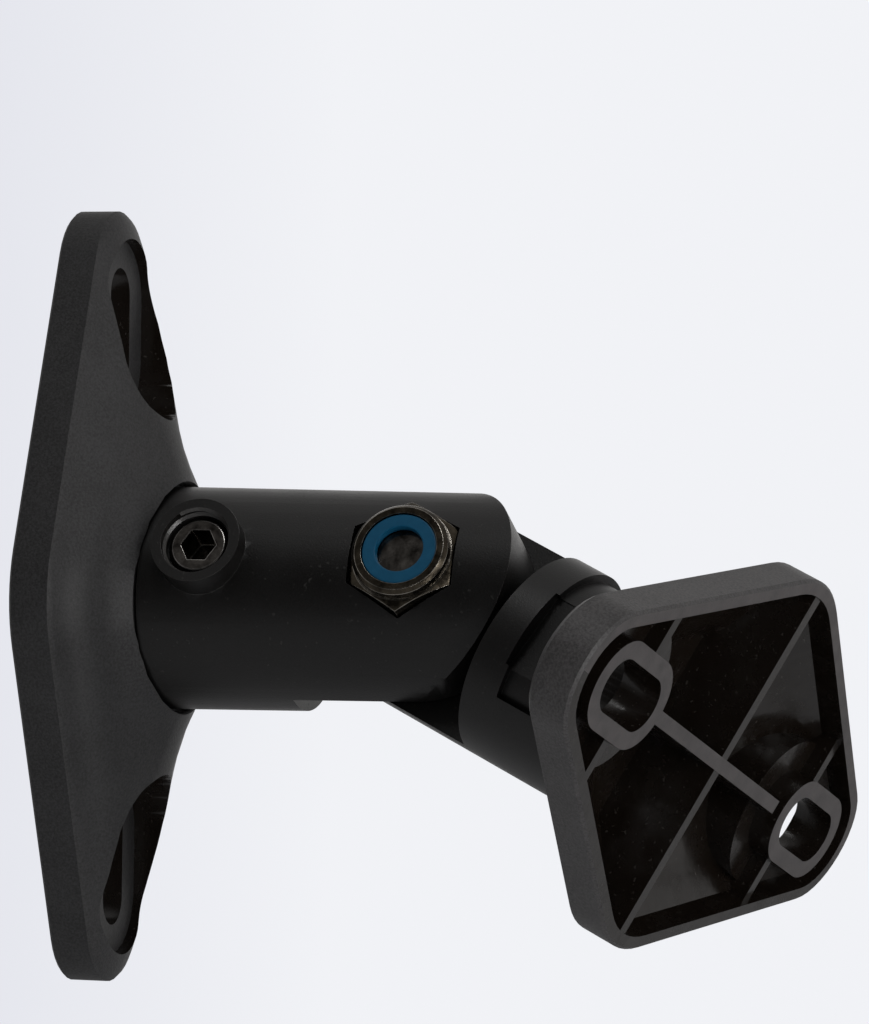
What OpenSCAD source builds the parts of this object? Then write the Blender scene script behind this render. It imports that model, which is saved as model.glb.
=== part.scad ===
// Wall bracket for a small loudspeaker, at real size in millimetres.
// Two diamond plates, an arm that turns on the wall plate, a knuckle that
// tilts on the arm's half-lap joint, and a speaker plate that turns in the knuckle.
// The origin is the middle of the wall plate's back face, +Z is up, and the arm
// points along -Y, away from the wall.

/* [Plates] */
// Length of a plate over its round ends
plate_len = 98; // [90:1:120]
// Width of the wall plate over its side corners
plate_wid = 48; // [46:1:60]
// Width of the speaker plate over its side corners
speaker_wid = 50.6; // [46:0.2:60]
// Radius of the two round ends
end_r = 8.8; // [8.4:0.1:10]
// Radius of the two side corners
side_r = 17; // [10:0.5:20]
// Depth of the straight skirt round a plate
skirt_h = 5.4; // [4.5:0.1:7]
// Height of the round tube seat above the open face
seat_h = 12.7; // [11:0.1:15]
// Height of the flare where it leaves the skirt
flare_foot = 6.3; // [5.8:0.1:8]
// Height of the flare beside the seat, at the side corners
flare_side = 12.9; // [12.8:0.1:16]
// Height of the flare beside the seat, towards the round ends
flare_crest = 14.8; // [13:0.1:17]
// How hollow the flare is, 0 for straight sides
seat_hollow = 0.055; // [0:0.005:0.12]
// Wall thickness of a plate
plate_wall = 2.2; // [1.8:0.1:2.6]
// Rounding along the edges of the skirt
edge_r = 0.6; // [0.3:0.1:1]
// Thickness of the two main ribs
rib_w = 1.8; // [1.2:0.1:2.4]
// Thickness of the short ribs at the slots
short_rib_w = 1.6; // [1.2:0.1:2.4]
// Depth of the short ribs below the open face
short_rib_drop = 1; // [0.4:0.1:2]
// Width of the gap at the free end of the rib between the slots
rib_gap = 1.6; // [1:0.1:3]

/* [Screw slots] */
// Distance between the middles of the two slots of a plate
slot_pitch = 68; // [64:1:72]
// Width of a slot
slot_wid = 6.9; // [5:0.1:7.2]
// Length of a slot over its round ends
slot_len = 15.6; // [10:0.1:16]
// Wall round a slot
slot_wall = 2.3; // [1.6:0.1:2.6]
// Width of the recess for a screw head
pocket_wid = 15.6; // [12:0.1:16]
// Length of the recess for a screw head
pocket_len = 23; // [20:0.5:24]
// Height of the recess floor above the open face
pocket_floor = 5.3; // [4:0.1:6]

/* [Spigots] */
// Diameter of the spigot of a plate
spigot_d = 19; // [18:0.5:20]
// Length of the spigot beyond the flare
spigot_len = 14.2; // [13:0.1:15]
// Diameter of the bore in the spigot
spigot_bore = 10; // [8:0.5:11]
// Running clearance of a spigot in its socket, on the radius
spigot_fit = 0.06; // [0.03:0.01:0.1]
// Diameter of the spigot in the groove of the set screw
groove_d = 14.2; // [13.4:0.1:15]
// Gap between a tube's end and its seat, and round the tube in the seat
end_gap = 0.4; // [0.3:0.1:1]

/* [Arm] */
// Diameter of the arm at its wall end
arm_d = 28.2; // [26:0.1:32]
// Draft of the arm, degrees on each side
arm_draft = 0.55; // [0:0.05:0.8]
// Distance from the wall to the tilt pivot
pivot_out = 46.9; // [46:0.5:60]
// Turn of the arm about its own axis, degrees
arm_roll = 26.7; // [-180:0.5:180]
// Gap between the shoulder and the knuckle's round end
shoulder_gap = 2; // [1.2:0.1:4]
// Gap between the two cheeks of the half-lap joint
lap_gap = 0.3; // [0.2:0.05:0.5]

/* [Set screws] */
// Diameter of a set screw
screw_d = 8; // [6:1:8]
// Length of a set screw
screw_len = 8; // [6:0.5:8]
// Distance of a set screw from the tube's end
screw_in = 7.9; // [7:0.1:9]
// Size of the hex socket across its flats
screw_hex = 4; // [3:0.5:4]
// Depth of the hex socket
screw_hex_depth = 4; // [2:0.5:5]
// Outer diameter of the raised boss round a set screw
boss_d = 11.4; // [11:0.1:13]
// Height of the boss rim above the middle of the tube
boss_top = 16.6; // [16:0.1:18]
// Diameter of the open mouth of the boss
mouth_d = 8.9; // [8.4:0.1:9.4]
// Clearance round a fastener in its own hole, on the radius
thread_gap = 0.05; // [0.03:0.01:0.1]

/* [Tilt joint] */
// Tilt of the knuckle, degrees
head_tilt = 27.9; // [-75:0.5:75]
// Diameter of the tilt bolt
bolt_d = 8; // [6:0.5:8]
// Size of bolt head and nut across their flats
bolt_hex = 13; // [12:0.5:13]
// Height of the bolt head
bolt_head_h = 5.3; // [4:0.1:6]
// Running clearance of the bolt in the knuckle, on the radius
bolt_fit = 0.06; // [0.03:0.01:0.1]
// Distance from the lap plane to the seat of the nut
nut_seat = 7.2; // [6:0.1:8]
// Height of the nut's steel body
nut_h = 8; // [7:0.1:8.5]
// Height of the six flats of the nut
nut_flat_h = 6.4; // [5:0.1:7]
// Clearance round the nut in its pocket
nut_gap = 0.25; // [0.1:0.05:0.4]
// Outer diameter of the nylon ring
ring_d = 9.5; // [9.2:0.1:10]
// Height of the nylon ring
ring_h = 1.9; // [1.5:0.1:2.5]
// Diameter of the hole in the nylon ring
ring_hole = 6; // [5:0.1:7]
// How far the bolt end lies below the nut's top
bolt_end_in = 1.4; // [0.5:0.1:3]
// Distance from the lap plane to the seat of the washer
washer_seat = 9; // [7.5:0.1:10]
// Diameter of the washer
washer_d = 16; // [15:0.5:17]
// Thickness of the washer
washer_h = 1.6; // [1:0.1:2]
// Gap between the washer and its seat
washer_gap = 0.15; // [0.1:0.05:0.3]
// Width of the gap round the washer in its recess
recess_gap = 1.2; // [0.8:0.1:2]

/* [Knuckle] */
// Diameter of the knuckle
knuckle_d = 27.2; // [26:0.1:32]
// Gap between the collar's flat end and the widest part of the arm
collar_gap = 1.3; // [0.8:0.1:3]
// Distance from the pivot to the open face of the speaker plate
face_out = 45.3; // [45:0.1:60]
// Turn of the speaker plate in the knuckle, degrees
plate_turn = 12; // [-180:0.5:180]
// Start of the recess in the collar, from the collar's flat end
recess_start = 4.8; // [3.5:0.1:6]
// Length of the recess along the collar
recess_len = 10; // [5:0.1:11]
// Depth of the recess
recess_drop = 1; // [0.6:0.1:1.4]
// Distance from the middle of the collar to the recess's straight edge
recess_edge = 9; // [6:0.1:11]
// Width of the flat in the middle of the recess
flat_wid = 10.8; // [8:0.1:14]
// Distance from the middle of the collar to the flat
flat_out = 11.2; // [10.8:0.1:12.2]
// How far the flat starts before the recess
flat_lead = 0.5; // [0:0.1:1]

/* [Hidden] */
$fn = 96;
far = 60;
moulded = "#202123";
steel = "#6f7073";
nylon = "#1f5f9c";
end_segs = 14;
side_segs = 8;
line_segs = 4;
flare_rings = 8;
groove_len = screw_d + 0.6;
socket_r = spigot_d / 2 + spigot_fit;
socket_len = spigot_len + 0.8;
arm_start = seat_h + end_gap;
arm_end_r = arm_d / 2 - tan(arm_draft) * (pivot_out - arm_start);
knuckle_r = knuckle_d / 2;
shoulder_back = knuckle_r + shoulder_gap;
collar_start = arm_d / 2 + collar_gap;
collar_end = face_out - seat_h - end_gap;
seat_r = max(arm_d, knuckle_d) / 2 + end_gap;
cap_r = seat_r + 0.3;
shoulder_w = 1.8;
hex_r = bolt_hex / 2 / cos(30);
socket_hex_r = screw_hex / 2 / cos(30);

// Points round a diamond with round corners, pulled in by a given amount
function corner_turn(xs, ys, rs, re) = asin((rs - re) / norm([xs, ys])) + atan2(xs, ys);
function arc(x, y, r, from, to, n) = [for (i = [0:n - 1]) let (t = from + (to - from) * i / n)
    [x + r * cos(t), y + r * sin(t)]];
function line(p, q, n) = [for (i = [0:n - 1]) p + (q - p) * i / n];
function diamond(pull) = let (
    xs = $wid / 2 - side_r,
    ys = plate_len / 2 - end_r,
    rs = side_r - pull,
    re = end_r - pull,
    g = corner_turn(xs, ys, side_r, end_r),
    side_q = [xs + rs * cos(g), rs * sin(g)],
    end_q = [re * cos(g), ys + re * sin(g)])
    concat(
        arc(xs, 0, rs, -g, g, side_segs),
        line(side_q, end_q, line_segs),
        arc(0, ys, re, g, 180 - g, end_segs),
        line([-end_q.x, end_q.y], [-side_q.x, side_q.y], line_segs),
        arc(-xs, 0, rs, 180 - g, 180 + g, side_segs),
        line(-side_q, -end_q, line_segs),
        arc(0, -ys, re, 180 + g, 360 - g, end_segs),
        line([end_q.x, -end_q.y], [side_q.x, -side_q.y], line_segs));

// One ring of the flare, from the skirt (s = 0) to the round middle (s = 1)
function flare_ring(pts, r, low, side, crest, s) = [for (p = pts) let (
    q = p * r / norm(p),
    m = p + (q - p) * s,
    high = side + (crest - side) * pow(q.y / r, 2))
    [m.x, m.y, low + (high - low) * (s + seat_hollow * sin(360 * s))]];
function flat_ring(pts, z) = [for (p = pts) [p.x, p.y, z]];
function round_ring(pts, r, z) = [for (p = pts) [p.x * r / norm(p), p.y * r / norm(p), z]];

// Closed solid through a stack of rings with equal numbers of points
module ring_stack(rings) {
    n = len(rings[0]);
    last = len(rings) - 1;
    pts = [for (ring = rings) each ring];
    sides = [for (j = [0:last - 1], i = [0:n - 1]) let (k = (i + 1) % n)
        each [[j * n + i, (j + 1) * n + i, (j + 1) * n + k], [j * n + i, (j + 1) * n + k, j * n + k]]];
    polyhedron(pts, concat(sides, [[for (i = [0:n - 1]) i]], [[for (i = [n - 1:-1:0]) last * n + i]]));
}

module slot2d(length, width) {
    square([width, length - width], center = true);
    for (s = [-1, 1]) translate([0, s * (length - width) / 2]) circle(d = width);
}

// Outside of a plate: skirt with soft edges, then the hollow flare up to the seat
module plate_outside() {
    edge = diamond(0);
    foot = diamond(shoulder_w);
    ring_stack(concat(
        [flat_ring(diamond(edge_r * 0.6), 0), flat_ring(edge, edge_r * 0.6),
         flat_ring(edge, skirt_h - edge_r / 2), flat_ring(diamond(edge_r), skirt_h + edge_r / 2)],
        [for (j = [0:flare_rings])
            flare_ring(foot, cap_r, flare_foot, flare_side, flare_crest, j / flare_rings)],
        [round_ring(foot, cap_r - 1, flare_side)]));
}

module plate_inside() {
    foot = diamond(plate_wall + shoulder_w - edge_r);
    low = flare_foot - plate_wall;
    top = seat_h - plate_wall;
    ring_stack(concat(
        [flat_ring(diamond(plate_wall * 0.8), -1), flat_ring(diamond(plate_wall), skirt_h - plate_wall)],
        [for (j = [0:flare_rings])
            flare_ring(foot, cap_r - plate_wall, low, top, top, j / flare_rings)]));
}

// Ribs and slot walls inside a plate, to be trimmed by its outside
module plate_ribs() {
    boss_len = slot_len + 2 * slot_wall;
    boss_wid = slot_wid + 2 * slot_wall;
    rib_end = slot_pitch / 2 - boss_len / 2;
    translate([-$wid / 2, -rib_w / 2, 0.3]) cube([$wid, rib_w, seat_h - 0.6]);
    translate([-rib_w / 2, -rib_end + rib_gap, 0.3]) cube([rib_w, 2 * rib_end - rib_gap, seat_h - 0.6]);
    translate([-rib_w / 2, -rib_end, 1.4]) cube([rib_w, rib_end, seat_h - 2]);
    for (s = [-1, 1]) {
        translate([0, s * slot_pitch / 2, 0]) linear_extrude(seat_h - 1) slot2d(boss_len, boss_wid);
        translate([0, s * slot_pitch / 2, pocket_floor - plate_wall]) linear_extrude(seat_h)
            slot2d(pocket_len + 2 * plate_wall, pocket_wid + 2 * plate_wall);
        translate([-$wid / 2, s * (slot_pitch / 2 - 2.9) - short_rib_w / 2, short_rib_drop])
            cube([$wid, short_rib_w, seat_h - 2]);
    }
}

// A plate $wid wide with its open face at z = 0, its length along y and its spigot along z
module plate() {
    difference() {
        union() {
            difference() {
                plate_outside();
                plate_inside();
            }
            intersection() {
                plate_outside();
                plate_ribs();
            }
            translate([0, 0, seat_h - plate_wall]) cylinder(h = plate_wall + spigot_len, d = spigot_d);
        }
        for (s = [-1, 1]) translate([0, s * slot_pitch / 2, 0]) {
            translate([0, 0, pocket_floor]) linear_extrude(far) slot2d(pocket_len, pocket_wid);
            translate([0, 0, -1]) linear_extrude(far) slot2d(slot_len, slot_wid);
        }
        translate([0, 0, seat_h]) {
            cylinder(h = far, d = spigot_bore);
            difference() {
                cylinder(h = far, r = seat_r);
                cylinder(h = far, d = spigot_d);
            }
        }
        translate([0, 0, arm_start + screw_in - groove_len / 2]) difference() {
            cylinder(h = groove_len, d = spigot_d + 2);
            cylinder(h = groove_len, d = groove_d);
        }
    }
}

// Places for parts of the arm: x is the bolt's axis, z runs out from the wall
module arm_place() {
    rotate([90, 0, 0]) rotate([0, 0, 180 - arm_roll]) children();
}

// The pivot's own frame, turned with the knuckle: z runs out along the collar
module knuckle_place() {
    arm_place() translate([0, 0, pivot_out]) rotate([-head_tilt, 0, 0]) children();
}

// Turns a shape drawn along z into one along +x
module along_x() {
    rotate([0, 90, 0]) children();
}

module screw_boss() {
    along_x() cylinder(h = boss_top, d = boss_d);
}

// Threaded hole and open mouth of a boss, down into the socket
module screw_hole() {
    along_x() {
        cylinder(h = far, r = screw_d / 2 + thread_gap);
        translate([0, 0, boss_top - 2.2]) cylinder(h = far, d = mouth_d);
    }
}

module set_screw() {
    tip = groove_d / 2 + 0.1;
    color(steel) along_x() translate([0, 0, tip]) difference() {
        union() {
            cylinder(h = 1, d1 = screw_d - 2, d2 = screw_d);
            translate([0, 0, 1]) cylinder(h = screw_len - 1.6, d = screw_d);
            translate([0, 0, screw_len - 0.6]) cylinder(h = 0.6, d1 = screw_d, d2 = screw_d - 1.2);
        }
        translate([0, 0, screw_len - screw_hex_depth]) cylinder(h = far, r = socket_hex_r, $fn = 6);
    }
}

// Rounded end of a cheek: all that lies outside the cylinder round the bolt
module cheek_end_cut(r, way) {
    difference() {
        translate([-far / 2, -far / 2, way > 0 ? 0 : -far]) cube([far, far, far]);
        translate([-far / 2 - 1, 0, 0]) along_x() cylinder(h = far + 2, r = r);
    }
}

module wall_plate() {
    color(moulded) rotate([90, 0, 0]) plate($wid = plate_wid);
}

module arm() {
    tube_len = pivot_out - arm_start + arm_end_r;
    tip_r = arm_d / 2 - tan(arm_draft) * tube_len;
    color(moulded) arm_place() difference() {
        union() {
            translate([0, 0, arm_start]) cylinder(h = tube_len, r1 = arm_d / 2, r2 = tip_r);
            translate([0, 0, arm_start + screw_in]) screw_boss();
        }
        translate([0, 0, arm_start - 1]) cylinder(h = socket_len + 1, r = socket_r);
        translate([0, 0, arm_start + screw_in]) screw_hole();
        translate([0, 0, pivot_out]) {
            translate([-far, -far / 2, -shoulder_back]) cube([far + lap_gap / 2, far, far]);
            cheek_end_cut(arm_end_r, 1);
            along_x() cylinder(h = far, r = bolt_d / 2 + thread_gap);
            along_x() translate([0, 0, nut_seat])
                rotate([0, 0, 30]) cylinder(h = far, r = hex_r + nut_gap, $fn = 6);
        }
    }
}

module arm_set_screw() {
    arm_place() translate([0, 0, arm_start + screw_in]) set_screw();
}

module pivot_bolt() {
    head_top = -washer_seat - washer_gap - washer_h;
    shank = nut_seat + nut_h - bolt_end_in - head_top;
    color(steel) arm_place() translate([0, 0, pivot_out]) along_x() {
        translate([0, 0, head_top]) cylinder(h = shank - 0.8, d = bolt_d);
        translate([0, 0, head_top + shank - 0.8]) cylinder(h = 0.8, d1 = bolt_d, d2 = bolt_d - 1.6);
        translate([0, 0, head_top - bolt_head_h]) intersection() {
            cylinder(h = bolt_head_h, r = hex_r, $fn = 6);
            cylinder(h = bolt_head_h, r1 = bolt_hex / 2 - 0.3, r2 = bolt_hex / 2 - 0.3 + bolt_head_h * 1.7);
        }
    }
}

module bolt_washer() {
    color(steel) arm_place() translate([0, 0, pivot_out]) along_x()
        translate([0, 0, -washer_seat - washer_gap - washer_h]) difference() {
            cylinder(h = washer_h, d = washer_d);
            translate([0, 0, -1]) cylinder(h = washer_h + 2, d = bolt_d + 0.5);
        }
}

module pivot_nut() {
    crown_r = bolt_hex / 2 - 0.35;
    color(steel) arm_place() translate([0, 0, pivot_out]) along_x() translate([0, 0, nut_seat]) difference() {
        union() {
            intersection() {
                rotate([0, 0, 30]) cylinder(h = nut_flat_h, r = hex_r, $fn = 6);
                cylinder(h = nut_flat_h, r1 = bolt_hex / 2 + nut_flat_h * 1.6, r2 = bolt_hex / 2 - 0.2);
            }
            cylinder(h = nut_h - 0.5, r = crown_r);
            translate([0, 0, nut_h - 0.5]) cylinder(h = 0.5, r1 = crown_r, r2 = crown_r - 0.5);
        }
        translate([0, 0, -1]) cylinder(h = far, r = bolt_d / 2 + thread_gap);
        translate([0, 0, nut_h - ring_h - 0.2]) cylinder(h = far, r = ring_d / 2 + thread_gap);
    }
}

module nut_ring() {
    thread_h = ring_h + 0.25 - bolt_end_in;
    color(nylon) arm_place() translate([0, 0, pivot_out]) along_x()
        translate([0, 0, nut_seat + nut_h - ring_h - 0.15]) difference() {
            cylinder(h = ring_h, d = ring_d);
            translate([0, 0, -1]) cylinder(h = ring_h + 2, d = ring_hole);
            translate([0, 0, -1]) cylinder(h = 1 + thread_h, r = bolt_d / 2 + thread_gap);
        }
}

// Recess that thins the collar's near side, with a flat in its middle
module collar_recess() {
    translate([0, 0, recess_start]) difference() {
        translate([-1.5, -far / 2, 0]) cube([far, far / 2 + recess_edge, recess_len]);
        cylinder(h = recess_len, r = knuckle_r - recess_drop);
    }
    translate([flat_out, -flat_wid / 2, recess_start - flat_lead])
        cube([far, flat_wid, recess_len + flat_lead]);
}

module knuckle() {
    color(moulded) knuckle_place() difference() {
        union() {
            translate([0, 0, collar_start]) cylinder(h = collar_end - collar_start, r = knuckle_r);
            difference() {
                translate([0, 0, -knuckle_r]) cylinder(h = knuckle_r + collar_start + 1, r = knuckle_r);
                translate([-lap_gap / 2, -far / 2, -far]) cube([far, far, far + collar_start]);
                cheek_end_cut(knuckle_r, -1);
            }
            translate([0, 0, collar_end - screw_in]) rotate([0, 0, 180]) screw_boss();
        }
        translate([0, 0, collar_end - socket_len]) cylinder(h = far, r = socket_r);
        translate([0, 0, collar_end - screw_in]) rotate([0, 0, 180]) screw_hole();
        rotate([0, 0, 180]) along_x() {
            translate([0, 0, -far / 2]) cylinder(h = far, r = bolt_d / 2 + bolt_fit);
            translate([0, 0, washer_seat]) cylinder(h = far, d = washer_d + 2 * recess_gap);
        }
        translate([0, 0, collar_start]) collar_recess();
    }
}

module knuckle_set_screw() {
    knuckle_place() translate([0, 0, collar_end - screw_in]) rotate([0, 0, 180]) set_screw();
}

module speaker_plate() {
    color(moulded) knuckle_place() translate([0, 0, face_out]) rotate([0, 0, plate_turn])
        rotate([180, 0, 0]) rotate([0, 0, -90]) plate($wid = speaker_wid);
}

wall_plate();
arm();
arm_set_screw();
pivot_bolt();
bolt_washer();
pivot_nut();
nut_ring();
knuckle();
knuckle_set_screw();
speaker_plate();
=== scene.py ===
import math
import bpy
from mathutils import Matrix, Vector


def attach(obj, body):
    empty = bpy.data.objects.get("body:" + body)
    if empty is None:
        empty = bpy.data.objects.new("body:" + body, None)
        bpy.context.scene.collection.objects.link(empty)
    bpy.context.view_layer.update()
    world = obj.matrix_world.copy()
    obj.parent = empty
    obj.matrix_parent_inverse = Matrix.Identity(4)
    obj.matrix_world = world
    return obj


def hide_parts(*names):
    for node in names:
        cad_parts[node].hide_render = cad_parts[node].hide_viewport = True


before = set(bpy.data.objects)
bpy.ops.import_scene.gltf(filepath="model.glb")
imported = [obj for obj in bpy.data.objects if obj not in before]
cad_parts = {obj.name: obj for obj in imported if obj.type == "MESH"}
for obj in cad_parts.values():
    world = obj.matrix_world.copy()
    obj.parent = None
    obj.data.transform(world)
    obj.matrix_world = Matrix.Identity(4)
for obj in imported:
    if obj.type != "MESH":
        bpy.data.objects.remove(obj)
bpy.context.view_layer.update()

print("frame loaded:", ", ".join(sorted(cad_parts)))


# camera at the photograph's angle, in metres

shot = {
    "azimuth": -73.39,  # degrees, 0 looks along +Y
    "elevation": 0.87,
    "roll": 0.82,
    "distance": 0.6047,
    "target": Vector((0, -0.04695, 0)),
    "lens": 170.29,
    "shiftX": 0.0045,
    "shiftY": 0.0885,
}


def aimed(azimuth, elevation, roll, distance, target):
    az, el, turn = (math.radians(v) for v in (azimuth, elevation, roll))
    back = Vector((math.sin(az) * math.cos(el), -math.cos(az) * math.cos(el), math.sin(el)))
    right = Vector((math.cos(az), math.sin(az), 0))
    up = back.cross(right)
    side = right * math.cos(turn) + up * math.sin(turn)
    top = up * math.cos(turn) - right * math.sin(turn)
    matrix = Matrix((side, top, back)).transposed().to_4x4()
    matrix.translation = target + back * distance
    return matrix


bpy.ops.object.camera_add()
camera = bpy.context.object
camera.name = "photoCamera"
camera.matrix_world = aimed(
    shot["azimuth"], shot["elevation"], shot["roll"], shot["distance"], shot["target"])
camera.data.sensor_fit = "VERTICAL"
camera.data.sensor_height = 36
camera.data.lens = shot["lens"]
camera.data.shift_x = shot["shiftX"]
camera.data.shift_y = shot["shiftY"]
camera.data.clip_start = 0.01
bpy.context.scene.camera = camera
bpy.context.scene.view_settings.view_transform = "Standard"
print("camera set")


# node materials: a Value wraps a socket, and arithmetic on it adds the nodes

class Value:
    def __init__(self, recipe, socket):
        self.recipe = recipe
        self.socket = socket

    def math(self, operation, a, b):
        return self.recipe.node("ShaderNodeMath", {"operation": operation}, {0: a, 1: b})

    def __add__(self, other):
        return self.math("ADD", self, other)

    def __radd__(self, other):
        return self.math("ADD", other, self)

    def __sub__(self, other):
        return self.math("SUBTRACT", self, other)

    def __rsub__(self, other):
        return self.math("SUBTRACT", other, self)

    def __mul__(self, other):
        return self.math("MULTIPLY", self, other)

    def __rmul__(self, other):
        return self.math("MULTIPLY", other, self)


class Recipe:
    def __init__(self, owner):
        owner.use_nodes = True
        self.tree = owner.node_tree
        self.tree.nodes.clear()

    def node(self, kind, settings=None, inputs=None, output=0):
        made = self.tree.nodes.new(kind)
        for name, value in (settings or {}).items():
            if name == "stops":
                ramp = made.color_ramp
                while len(ramp.elements) < len(value):
                    ramp.elements.new(0.5)
                for element, (place, colour) in zip(ramp.elements, value):
                    element.position = place
                    element.color = (*colour, 1)
            else:
                setattr(made, name, value)
        for name, value in (inputs or {}).items():
            if isinstance(value, Value):
                self.tree.links.new(value.socket, made.inputs[name])
            elif value is not None:
                isColour = made.inputs[name].type == "RGBA" and len(value) == 3
                made.inputs[name].default_value = (*value, 1) if isColour else value
        return Value(self, made.outputs[output] if len(made.outputs) else None)

    def place(self):
        return self.node("ShaderNodeTexCoord", output="Object")

    def noise(self, scale, detail=2.0, rough=0.5):
        return self.node("ShaderNodeTexNoise", inputs={
            "Vector": self.place(), "Scale": scale, "Detail": detail, "Roughness": rough})

    def range(self, value, low, high, newLow=0.0, newHigh=1.0):
        return self.node("ShaderNodeMapRange", {"clamp": True}, {
            "Value": value, "From Min": low, "From Max": high,
            "To Min": newLow, "To Max": newHigh})

    def mix(self, factor, first, second):
        return self.node("ShaderNodeMix", {"data_type": "RGBA"}, {
            0: factor, 6: first, 7: second}, 2)

    def bump(self, height, distance, strength=1.0, normal=None):
        return self.node("ShaderNodeBump", inputs={
            "Height": height, "Distance": distance, "Strength": strength, "Normal": normal})

    def surface(self, **inputs):
        names = {name.replace("_", " "): value for name, value in inputs.items()}
        shader = self.node("ShaderNodeBsdfPrincipled", inputs=names)
        self.node("ShaderNodeOutputMaterial", inputs={"Surface": shader})


finishes = {}


def newFinish(name, slotName):
    material = bpy.data.materials.new(name)
    finishes[name] = (material, slotName)
    return Recipe(material)


# world: a pale sheet that the lens sees; the object sees a bright right side and a dim camera side
# an edge holds two cosines, where a glow starts and where it is full

backdrop = {
    "middle": (0.880, 0.889, 0.922),
    "left": (0.785, 0.795, 0.850),
    "sheetEdge": (-0.09, -0.02),
    "tint": (1.0, 0.985, 0.975),
    "room": 0.40,
    "cameraSide": 0.03,
    "roomEdge": (0.62, 0.05),
    "rightSide": 2.4,
    "rightWay": (-0.45, -0.89, 0.03),
    "rightEdge": (0.80, 0.95),
    "levelEdge": (0.28, 0.06),  # keeps the right side's glow near the horizon
    "behind": 0.70,
    "behindEdge": (-0.80, -0.95),
    "spark": 9.0,
    "sparkWay": (-0.606, -0.768, -0.205),
    "sparkEdge": (0.985, 0.996),
}


def dressWorld():
    world = bpy.data.worlds.new("paleSheet")
    bpy.context.scene.world = world
    recipe = Recipe(world)
    way = recipe.node("ShaderNodeTexCoord", output="Generated")
    facing = aimed(shot["azimuth"], shot["elevation"], 0, 1, Vector((0, 0, 0)))

    def along(direction):
        return recipe.node("ShaderNodeVectorMath", {"operation": "DOT_PRODUCT"}, {
            0: way, 1: tuple(direction)}, "Value")

    toCamera = along(facing.col[2].to_3d())
    toRight = along(facing.col[0].to_3d())
    shown = recipe.mix(
        recipe.range(toRight, *backdrop["sheetEdge"]), backdrop["left"], backdrop["middle"])
    glow = recipe.range(toCamera, *backdrop["roomEdge"], backdrop["cameraSide"], backdrop["room"])
    height = recipe.node("ShaderNodeMath", {"operation": "ABSOLUTE"}, {0: along((0, 0, 1))})
    level = recipe.range(height, *backdrop["levelEdge"])
    rightGlow = recipe.range(along(backdrop["rightWay"]), *backdrop["rightEdge"])
    glow = glow + rightGlow * level * backdrop["rightSide"]
    glow = glow + recipe.range(toCamera, *backdrop["behindEdge"]) * backdrop["behind"]
    sparkGlow = recipe.range(along(backdrop["sparkWay"]), *backdrop["sparkEdge"])
    glow = glow + sparkGlow * backdrop["spark"]
    around = recipe.mix(glow, (0, 0, 0), backdrop["tint"])
    around.socket.node.clamp_factor = False
    path = recipe.node("ShaderNodeLightPath", output="Is Camera Ray")
    background = recipe.node("ShaderNodeBackground", inputs={
        "Color": recipe.mix(path, around, shown)})
    recipe.node("ShaderNodeOutputWorld", inputs={"Surface": background})


dressWorld()


lamps = [  # name, place, size, watts
    ("smallRight", (-0.45, -0.70, 0.20), 0.12, 0.5),
    ("smallTop", (-0.30, -0.10, 0.60), 0.14, 0.4),
    ("smallLow", (-0.52, -0.20, -0.08), 0.05, 0.06),
]


def hangLamp(name, place, size, watts):
    bpy.ops.object.light_add(type="AREA", location=place)
    lamp = bpy.context.object
    lamp.name = name
    lamp.data.size = size
    lamp.data.energy = watts
    way = Vector((0, -0.05, 0)) - Vector(place)
    lamp.rotation_euler = way.to_track_quat("-Z", "Y").to_euler()
    lamp.visible_camera = False


for lampRow in lamps:
    hangLamp(*lampRow)


ground = {
    "height": -0.13,
    "radius": 0.62,
    "fadeFrom": 0.55,  # shares of the radius between which the floor fades out
    "fadeTo": 0.98,
    "colour": (0.80, 0.81, 0.83),
    "fleck": (0.76, 0.77, 0.79),
    "lift": (0.47, 0.475, 0.49),
}


def layFloor():
    bpy.ops.mesh.primitive_circle_add(
        vertices=128, radius=ground["radius"], fill_type="NGON",
        location=(0, 0, ground["height"]))
    floor = bpy.context.object
    floor.name = "paleFloor"
    bpy.ops.object.transform_apply(location=True)
    material = bpy.data.materials.new("palePaper")
    recipe = Recipe(material)
    path = recipe.node("ShaderNodeLightPath", output="Is Camera Ray")
    paper = recipe.node("ShaderNodeBsdfPrincipled", inputs={
        "Base Color": recipe.mix(recipe.noise(60, 3) * 0.3, ground["colour"], ground["fleck"]),
        "Roughness": 0.8,
        "Emission Color": recipe.mix(path, (0, 0, 0), ground["lift"]),
        "Emission Strength": 1.0})
    clear = recipe.node("ShaderNodeBsdfTransparent")
    away = recipe.node("ShaderNodeVectorMath", {"operation": "LENGTH"}, {
        0: recipe.place()}, "Value")
    edge = recipe.range(
        away, ground["radius"] * ground["fadeFrom"], ground["radius"] * ground["fadeTo"])
    recipe.node("ShaderNodeOutputMaterial", inputs={
        "Surface": recipe.node("ShaderNodeMixShader", inputs={0: edge, 1: paper, 2: clear})})
    floor.data.materials.append(material)


layFloor()
print("light and floor set")


# finishes

mouldedBlack = {
    "dark": (0.0030, 0.0025, 0.0022),
    "light": (0.0060, 0.0055, 0.0053),
    "grain": 4200,  # waves per metre
    "grainDepth": 0.000022,
    "swellDepth": 0.00006,
    "roughness": 0.42,
    "dust": 0.5,
}
grainedBlack = {
    "dark": (0.0120, 0.0118, 0.0122),
    "light": (0.0330, 0.0326, 0.0340),
    "grain": 3300,
    "grainDepth": 0.000050,
    "swellDepth": 0.00003,
    "roughness": 0.55,
    "dust": 0.3,
}
handledBlack = {
    "dark": (0.0340, 0.0320, 0.0325),
    "light": (0.0780, 0.0745, 0.0755),
    "grain": 3300,
    "grainDepth": 0.000045,
    "swellDepth": 0.00003,
    "roughness": 0.52,
    "dust": 0.3,
}


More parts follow.
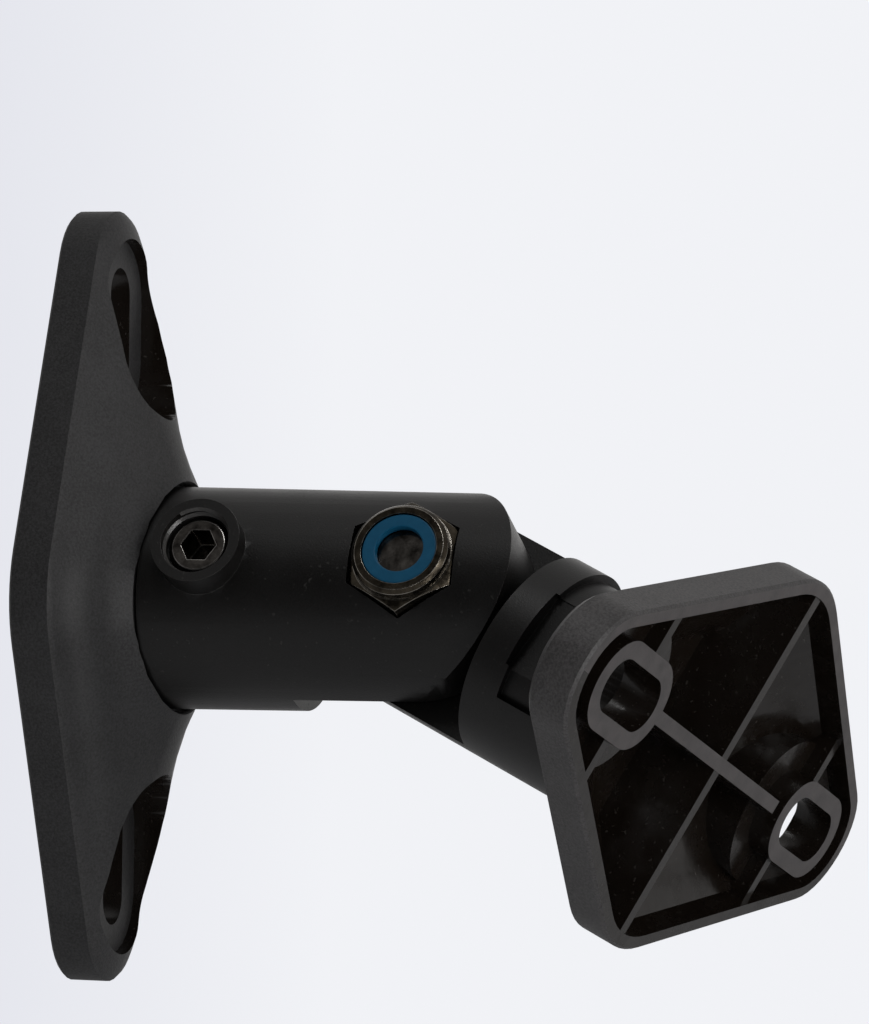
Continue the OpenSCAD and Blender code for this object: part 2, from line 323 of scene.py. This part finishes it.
def makeMoulded(name, look):
    recipe = newFinish(name, "moulded_black")
    cloud = recipe.noise(140, 3)
    grain = recipe.noise(look["grain"], 2, 0.6)
    dust = recipe.range(recipe.noise(1500, 1), 0.70, 0.78)
    tone = recipe.range(grain * 0.7 + cloud * 0.3, 0.38, 0.62)
    colour = recipe.mix(tone, look["dark"], look["light"])
    colour = recipe.mix(dust * look["dust"], colour, (0.05, 0.048, 0.045))
    broad = recipe.bump(recipe.noise(110, 1), look["swellDepth"], 0.5)
    recipe.surface(
        Base_Color=colour,
        Roughness=look["roughness"] + (cloud - 0.5) * 0.10 + dust * 0.15,
        Normal=recipe.bump(grain, look["grainDepth"], 1.0, broad))


glossyBlack = {"colour": (0.0090, 0.0063, 0.0045), "roughness": 0.13, "waveDepth": 0.00025}


def makeGlossyBlack():
    recipe = newFinish("glossyBlack", "moulded_black")
    smudge = recipe.noise(220, 4, 0.6)
    specks = recipe.range(recipe.noise(1900, 1), 0.68, 0.76)
    wave = recipe.bump(recipe.noise(150, 2), glossyBlack["waveDepth"], 0.6)
    colour = recipe.mix(specks * 0.6, glossyBlack["colour"], (0.06, 0.055, 0.05))
    recipe.surface(
        Base_Color=colour,
        Roughness=glossyBlack["roughness"] + recipe.range(smudge, 0.35, 0.7) * 0.22,
        Normal=recipe.bump(recipe.noise(1400, 2), 0.00001, 1.0, wave))


# lighter colour for the bevel faces of the plastic pieces and the thread turns: a painted edge
# highlight
paintedEdgeHighlight = {"low": (0.025, 0.024, 0.023), "high": (0.070, 0.067, 0.065), "roughness": 0.24}
rubbedBlack = {"low": (0.042, 0.038, 0.038), "high": (0.088, 0.080, 0.080), "roughness": 0.50}


# rubbed wear for the faces that lie on something; the same recipe makes the lighter edge colour, a
# painted highlight
def makeRubbedAndSheen(name, look):
    recipe = newFinish(name, "moulded_black")
    rubAndSheenTone = recipe.noise(420, 4, 0.65)
    recipe.surface(
        Base_Color=recipe.mix(recipe.range(rubAndSheenTone, 0.3, 0.7), look["low"], look["high"]),
        Roughness=look["roughness"] + (rubAndSheenTone - 0.5) * 0.2,
        Normal=recipe.bump(recipe.noise(3600, 2, 0.6), 0.00003))


darkZinc = {"low": (0.022, 0.019, 0.015), "high": (0.100, 0.084, 0.062), "roughness": 0.26}


def makeMetal(name, slotName, look, brush=2600):
    recipe = newFinish(name, slotName)
    stain = recipe.noise(650, 4, 0.6)
    recipe.surface(
        Base_Color=recipe.mix(recipe.range(stain, 0.3, 0.7), look["low"], look["high"]),
        Metallic=1.0,
        Roughness=look["roughness"] + (stain - 0.5) * 0.25,
        Normal=recipe.bump(recipe.noise(brush, 2, 0.6), 0.000012))


# lighter colour for the bevel faces of the nut and washer: worn bare metal, and a painted edge
# highlight
wornEdgeAndHighlight = {"low": (0.16, 0.145, 0.125), "high": (0.60, 0.56, 0.50), "roughness": 0.24}
oiledSteel = {"low": (0.030, 0.027, 0.024), "high": (0.200, 0.185, 0.170), "roughness": 0.20}
# lighter colour for the bevel faces of the set screws and the bolt: a painted edge highlight
oiledEdgeHighlight = {"low": (0.22, 0.21, 0.20), "high": (0.62, 0.60, 0.57), "roughness": 0.22}
blueNylon = {"low": (0.004, 0.080, 0.168), "high": (0.007, 0.114, 0.225), "roughness": 0.40}


def makeBlueNylon():
    recipe = newFinish("blueNylon", "blue_nylon")
    tone = recipe.noise(900, 3)
    recipe.surface(
        Base_Color=recipe.mix(tone, blueNylon["low"], blueNylon["high"]),
        Roughness=blueNylon["roughness"] + (tone - 0.5) * 0.2,
        Specular_IOR_Level=0.25,
        Normal=recipe.bump(recipe.noise(2400, 2), 0.00001))


makeMoulded("mouldedBlack", mouldedBlack)
makeMoulded("grainedBlack", grainedBlack)
makeMoulded("handledBlack", handledBlack)
makeGlossyBlack()
makeRubbedAndSheen("rubbedBlack", rubbedBlack)
makeRubbedAndSheen("paintedEdgeHighlight", paintedEdgeHighlight)
makeMetal("darkZinc", "zinc_steel", darkZinc)
makeMetal("wornEdgeAndHighlight", "zinc_steel", wornEdgeAndHighlight)
makeMetal("oiledSteel", "blued_steel", oiledSteel)
makeMetal("oiledEdgeHighlight", "blued_steel", oiledEdgeHighlight)
makeBlueNylon()
print("finishes made:", len(finishes))


# every piece is a merged copy of its solid with softened edges

def takeSolid(nodeName, pieceName):
    bpy.ops.object.select_all(action="DESELECT")
    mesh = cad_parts[nodeName].data.copy()
    mesh.materials.clear()
    piece = bpy.data.objects.new(pieceName, mesh)
    bpy.context.scene.collection.objects.link(piece)
    piece.select_set(True)
    bpy.context.view_layer.objects.active = piece
    bpy.ops.mesh.customdata_custom_splitnormals_clear()
    bpy.ops.object.mode_set(mode="EDIT")
    bpy.ops.mesh.select_mode(type="VERT")
    bpy.ops.mesh.select_all(action="SELECT")
    bpy.ops.mesh.remove_doubles(threshold=0.000002)
    bpy.ops.mesh.dissolve_limited(angle_limit=math.radians(0.5))
    bpy.ops.object.mode_set(mode="OBJECT")
    return piece


def softenEdges(piece, width, limit, segments=2, edgeSlot=-1):
    bevel = piece.modifiers.new("softEdges", "BEVEL")
    bevel.width = width
    bevel.segments = segments
    bevel.limit_method = "ANGLE"
    bevel.angle_limit = math.radians(limit)
    bevel.use_clamp_overlap = True
    bevel.material = edgeSlot
    bpy.ops.object.modifier_apply(modifier=bevel.name)
    bpy.ops.object.shade_smooth_by_angle(angle=math.radians(32))
    weigh = piece.modifiers.new("evenShading", "WEIGHTED_NORMAL")
    weigh.keep_sharp = True
    bpy.ops.object.modifier_apply(modifier=weigh.name)


def dress(piece, *names):
    for name in names:
        piece.data.materials.append(finishes[name][0])


# the second finish goes on the bevel faces, a lighter colour that paints the edge highlights; on
# the nut and washer it also stands for worn metal
pieces = [  # node, piece, edge width, edge angle, finishes, body
    ("arm", "armTube", 0.00028, 30, ("mouldedBlack", "paintedEdgeHighlight"), "arm_body"),
    ("knuckle", "knuckleTube", 0.00028, 30, ("mouldedBlack", "paintedEdgeHighlight"), "knuckle_body"),
    ("arm_set_screw", "armSetScrew", 0.00012, 30, ("oiledSteel", "oiledEdgeHighlight"), "arm_body"),
    ("knuckle_set_screw", "knuckleSetScrew", 0.00012, 30, ("oiledSteel", "oiledEdgeHighlight"),
        "knuckle_body"),
    ("pivot_bolt", "tiltBolt", 0.00020, 25, ("oiledSteel", "oiledEdgeHighlight"), "arm_body"),
    ("bolt_washer", "boltWasher", 0.00015, 30, ("darkZinc", "wornEdgeAndHighlight"), "arm_body"),
    ("pivot_nut", "lockNut", 0.00026, 25, ("darkZinc", "wornEdgeAndHighlight"), "arm_body"),
    ("nut_ring", "lockRing", 0.00025, 30, ("blueNylon",), "arm_body"),
]

for nodeName, pieceName, width, limit, names, body in pieces:
    piece = takeSolid(nodeName, pieceName)
    dress(piece, *names)
    softenEdges(piece, width, limit, 2, 1 if len(names) > 1 else -1)
    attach(piece, body)
    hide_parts(nodeName)
    print("made", pieceName, len(piece.data.polygons), "faces")


# the two plates: grained outside, glossy inside, rubbed on the faces that lie on something; their
# bevel faces take the lighter edge colour, a painted highlight

plate = {
    "length": 0.098,
    "endRadius": 0.0088,
    "sideRadius": 0.017,
    "halfRib": 0.0009,
    "halfCrossRib": 0.0012,
    "rim": 0.0022,
    "skirtTop": 0.0046,
    "skin": 0.0005,  # how near the outline counts as the skirt's outside
    "faceDepth": 0.0006,
    "edge": 0.00030,
}


def plateInset(x, y, width):
    # distance from a point inside the diamond outline to the outline
    circles = [(width / 2 - plate["sideRadius"], 0, plate["sideRadius"]),
               (0, plate["length"] / 2 - plate["endRadius"], plate["endRadius"])]
    nearest = 1.0
    for step in range(91):
        turn = math.radians(step)
        cx, cy = math.cos(turn), math.sin(turn)
        reach = max(px * cx + py * cy + r for px, py, r in circles)
        nearest = min(nearest, reach - abs(x) * cx - abs(y) * cy)
    return nearest


def paintPlate(piece, placed, width):
    # placed: the plate's own frame, with its open face at z = 0 and its length along y
    bpy.ops.object.mode_set(mode="EDIT")
    for side in (-1, 1):
        bpy.ops.mesh.select_all(action="SELECT")
        bpy.ops.mesh.bisect(
            plane_co=placed @ Vector((side * plate["halfRib"], 0, 0)),
            plane_no=placed.col[0].to_3d())
    bpy.ops.object.mode_set(mode="OBJECT")
    toPlate = placed.inverted()
    for face in piece.data.polygons:
        p = toPlate @ face.center
        n = toPlate.to_3x3() @ face.normal
        inset = plateInset(p.x, p.y, width)
        crossRib = abs(p.y) < plate["halfCrossRib"] and abs(p.x) > plate["halfRib"]
        outside = n.z > 0.2 and p.z > plate["skirtTop"] or inset < plate["skin"] and n.z > -0.85
        openFace = n.z < -0.6 and p.z < plate["faceDepth"]
        if outside:
            face.material_index = 0
        elif openFace and not (crossRib and inset > plate["rim"]):
            face.material_index = 2
        else:
            face.material_index = 1


pose = {"roll": 26.7, "tilt": 27.9, "turn": 12.0, "pivotOut": 0.0469, "faceOut": 0.0453}
boltAxis = Vector((-math.cos(math.radians(pose["roll"])), 0, math.sin(math.radians(pose["roll"]))))


def speakerFrame():
    tilt, turn = (math.radians(pose[name]) for name in ("tilt", "turn"))
    out = Vector((0, -1, 0))
    cross = out.cross(boltAxis)
    head = out * math.cos(tilt) + cross * math.sin(tilt)
    low = cross * math.cos(tilt) - out * math.sin(tilt)
    length = boltAxis * math.cos(turn) + low * math.sin(turn)
    matrix = Matrix((length.cross(-head), length, -head)).transposed().to_4x4()
    matrix.translation = out * pose["pivotOut"] + head * pose["faceOut"]
    return matrix


wallFrame = Matrix(((1, 0, 0, 0), (0, 0, -1, 0), (0, 1, 0, 0), (0, 0, 0, 1)))

for nodeName, pieceName, placed, width, outside, body in (
        ("wall_plate", "wallPlate", wallFrame, 0.048, "grainedBlack", "wall_base"),
        ("speaker_plate", "speakerPlate", speakerFrame(), 0.0506, "handledBlack", "speaker_body")):
    piece = takeSolid(nodeName, pieceName)
    dress(piece, outside, "glossyBlack", "rubbedBlack", "paintedEdgeHighlight")
    paintPlate(piece, placed, width)
    softenEdges(piece, plate["edge"], 30, 2, 3)
    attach(piece, body)
    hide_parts(nodeName)
    print("made", pieceName, len(piece.data.polygons), "faces")


# thread turns in the open mouths of the two screw bosses, in the lighter edge colour that paints a
# highlight on them

mouth = {
    "radius": 0.00445,
    "ridge": 0.00034,
    "pitch": 0.00125,
    "turns": 1.35,
    "start": 0.01475,
    "armScrewOut": 0.021,  # from the wall
    "knuckleScrewOut": 0.0243,  # from the tilt pivot
}


def cutThread(name, place, along, body):
    bpy.ops.object.select_all(action="DESELECT")
    bpy.ops.mesh.primitive_circle_add(
        vertices=4, radius=mouth["ridge"], location=(mouth["radius"], 0, mouth["start"]),
        rotation=(math.pi / 2, 0, 0))
    thread = bpy.context.object
    thread.name = name
    bpy.ops.object.transform_apply()
    turns = thread.modifiers.new("turns", "SCREW")
    turns.angle = 2 * math.pi * mouth["turns"]
    turns.screw_offset = mouth["pitch"] * mouth["turns"]
    turns.steps = turns.render_steps = 72
    bpy.ops.object.modifier_apply(modifier=turns.name)
    bpy.ops.object.mode_set(mode="EDIT")
    bpy.ops.mesh.select_all(action="SELECT")
    bpy.ops.mesh.fill_holes(sides=4)
    bpy.ops.mesh.normals_make_consistent(inside=False)
    bpy.ops.object.mode_set(mode="OBJECT")
    turned = along.to_track_quat("Z", "Y").to_matrix().to_4x4()
    thread.matrix_world = Matrix.Translation(place) @ turned
    bpy.ops.object.transform_apply()
    bpy.ops.object.shade_smooth_by_angle(angle=math.radians(40))
    # the lighter edge colour paints a highlight on the thread turns
    thread.data.materials.append(finishes["paintedEdgeHighlight"][0])
    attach(thread, body)


headAxis = -speakerFrame().col[2].to_3d()
armScrew = Vector((0, -mouth["armScrewOut"], 0))
knuckleScrew = Vector((0, -pose["pivotOut"], 0)) + headAxis * mouth["knuckleScrewOut"]
cutThread("armMouthThread", armScrew, boltAxis, "arm_body")
cutThread("knuckleMouthThread", knuckleScrew, -boltAxis, "knuckle_body")
print("threads made")
